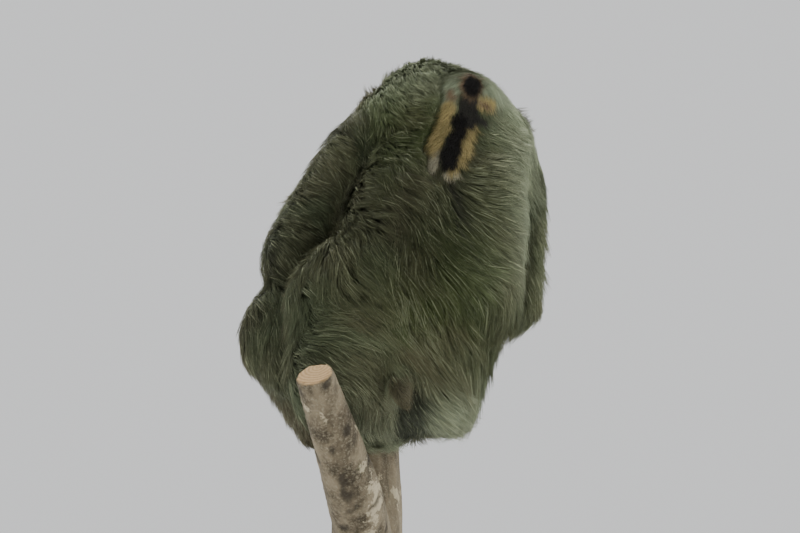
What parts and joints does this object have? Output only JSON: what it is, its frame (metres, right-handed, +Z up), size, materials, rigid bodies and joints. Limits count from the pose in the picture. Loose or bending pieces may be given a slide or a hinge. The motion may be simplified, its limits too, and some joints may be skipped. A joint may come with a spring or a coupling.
{
  "type": "three-toed sloth",
  "caption": "Life-size still model of a three-toed sloth sitting in a tree fork, hugging its upright limb, head bowed, on a low display stand.",
  "frame": {"origin": "centre of the underside of the stand's base", "axes": "+Z up; the sloth's back faces -Y and its left side -X"},
  "size_m": [0.4, 0.38, 0.892],
  "materials": {
    "coat": "coarse shaggy grey-green fur, paler at the tips",
    "face_coat": "short pale face fur with dark eye stripes",
    "claw_horn": "worn yellowish horn",
    "nose_leather": "moist black skin",
    "eye": "wet dark brown",
    "bark": "grey-brown bark with pale lichen, sawn ends",
    "stand_board": "dark stained board, satin",
    "stand_steel": "dark brushed steel"
  },
  "bodies": {
    "root": {"perch": "bark", "head": "face_coat", "nose": "nose_leather", "eye_left": "eye", "eye_right": "eye", "stand_base": "stand_board", "stand_rod_1": "stand_steel", "stand_rod_2": "stand_steel", "trunk": "coat", "tail": "coat", "neck": "coat", "upper_arm_left": "coat", "forearm_left": "coat", "hand_left": "coat", "thigh_left": "coat", "shank_left": "coat", "foot_left": "coat", "upper_arm_right": "coat", "forearm_right": "coat", "hand_right": "coat", "thigh_right": "coat", "shank_right": "coat", "foot_right": "coat", "hand_claw_left_1": "claw_horn", "hand_claw_left_2": "claw_horn", "hand_claw_left_3": "claw_horn", "foot_claw_left_1": "claw_horn", "foot_claw_left_2": "claw_horn", "foot_claw_left_3": "claw_horn", "hand_claw_right_1": "claw_horn", "hand_claw_right_2": "claw_horn", "hand_claw_right_3": "claw_horn", "foot_claw_right_1": "claw_horn", "foot_claw_right_2": "claw_horn", "foot_claw_right_3": "claw_horn"}
  },
  "joints": []
}
